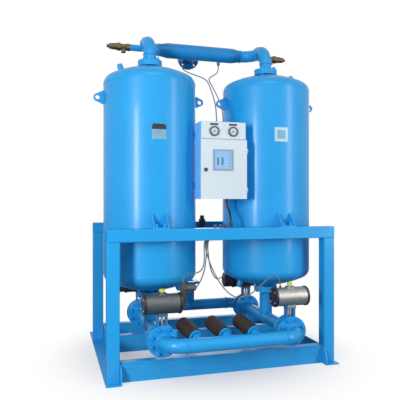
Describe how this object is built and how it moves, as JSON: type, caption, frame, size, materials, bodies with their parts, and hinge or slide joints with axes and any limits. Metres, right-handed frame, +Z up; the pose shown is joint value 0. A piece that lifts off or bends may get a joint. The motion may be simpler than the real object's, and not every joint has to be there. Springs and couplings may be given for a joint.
{
  "type": "desiccant air dryer",
  "caption": "Upright twin-tower desiccant dryer for compressed air on a skid, with manifolds, actuated butterfly valves, exhaust mufflers and a control box.",
  "frame": {"origin": "middle of the footprint on the floor", "axes": "+Z up, -Y towards the control box's front, +X to the right seen from the front"},
  "size_m": [1.6778, 1.5204, 2.374],
  "materials": {
    "blue_paint": "glossy sky blue paint",
    "bead": "white activated alumina beads",
    "bare_steel": "plain steel",
    "brass": "turned brass",
    "valve_paint": "blue-grey painted casting",
    "actuator": "hard anodised aluminium",
    "cap_black": "black coated aluminium",
    "indicator": "yellow-green plastic",
    "muffler": "dark brown porous plastic",
    "box_white": "light powder coat",
    "display": "blue display in a dull bezel",
    "gauge": "steel case",
    "pointer": "black",
    "pilot": "black",
    "line": "grey plastic tube",
    "cable": "black sheath"
  },
  "bodies": {
    "dryer": {"skid_left": "blue_paint", "skid_right": "blue_paint", "base_beam_front": "blue_paint", "base_beam_middle": "blue_paint", "base_beam_rear": "blue_paint", "post_front_left": "blue_paint", "post_front_right": "blue_paint", "post_rear_left": "blue_paint", "post_rear_right": "blue_paint", "rail_front": "blue_paint", "rail_rear": "blue_paint", "vessel_left": "blue_paint", "vessel_right": "blue_paint", "lifting_lugs": "blue_paint", "port_plugs": "bare_steel", "desiccant_left": "bead", "desiccant_right": "bead", "bed_screens": "bare_steel", "riser_left": "blue_paint", "riser_right": "blue_paint", "outlet_manifold": "blue_paint", "safety_valve_left": "brass", "safety_valve_right": "brass", "lower_tee_left": "blue_paint", "lower_tee_right": "blue_paint", "exhaust_header": "blue_paint", "inlet_header": "blue_paint", "mufflers": "muffler", "valve_body_front_left": "valve_paint", "valve_body_front_right": "valve_paint", "valve_body_rear_left": "valve_paint", "valve_body_rear_right": "valve_paint", "actuator_front_left": "actuator", "actuator_front_right": "actuator", "actuator_rear_left": "actuator", "actuator_rear_right": "actuator", "actuator_caps": "cap_black", "box_bracket": "blue_paint", "control_box": "box_white", "gauge_panel": "box_white", "gauges": "gauge", "pilot_block": "pilot", "air_lines": "line", "control_cable": "cable"},
    "door": {"box_door": "box_white", "display_unit": "display"},
    "lock": {"door_lock": "pilot"},
    "spindle_front_left": {"valve_disc_front_left": "bare_steel", "indicator_front_left": "indicator"},
    "spindle_front_right": {"valve_disc_front_right": "bare_steel", "indicator_front_right": "indicator"},
    "spindle_rear_left": {"valve_disc_rear_left": "bare_steel", "indicator_rear_left": "indicator"},
    "spindle_rear_right": {"valve_disc_rear_right": "bare_steel", "indicator_rear_right": "indicator"},
    "needle_left": {"pointer_left": "pointer"},
    "needle_right": {"pointer_right": "pointer"}
  },
  "joints": [
    {"name": "door_hinge", "type": "hinge", "parent": "dryer", "child": "door", "pos_m": [0.169, -0.45277, 1.3485], "axis": [0, 0, 1], "range_deg": [0, 110]},
    {"name": "lock_turn", "type": "hinge", "parent": "door", "child": "lock", "pos_m": [-0.13, -0.44777, 1.344], "axis": [0, 1, 0], "range_deg": [0, 90]},
    {"name": "valve_front_left", "type": "hinge", "parent": "dryer", "child": "spindle_front_left", "pos_m": [-0.445, -0.53878, 0.253], "axis": [0, 0, 1], "range_deg": [0, 90]},
    {"name": "valve_front_right", "type": "hinge", "parent": "dryer", "child": "spindle_front_right", "pos_m": [0.445, -0.53878, 0.253], "axis": [0, 0, 1], "range_deg": [0, 90]},
    {"name": "valve_rear_left", "type": "hinge", "parent": "dryer", "child": "spindle_rear_left", "pos_m": [-0.445, 0.27923, 0.253], "axis": [0, 0, 1], "range_deg": [0, 90]},
    {"name": "valve_rear_right", "type": "hinge", "parent": "dryer", "child": "spindle_rear_right", "pos_m": [0.445, 0.27923, 0.253], "axis": [0, 0, 1], "range_deg": [0, 90]},
    {"name": "gauge_left", "type": "hinge", "parent": "dryer", "child": "needle_left", "pos_m": [-0.067, -0.44777, 1.605], "axis": [0, 1, 0], "range_deg": [0, 270]},
    {"name": "gauge_right", "type": "hinge", "parent": "dryer", "child": "needle_right", "pos_m": [0.067, -0.44777, 1.605], "axis": [0, 1, 0], "range_deg": [0, 270]}
  ]
}
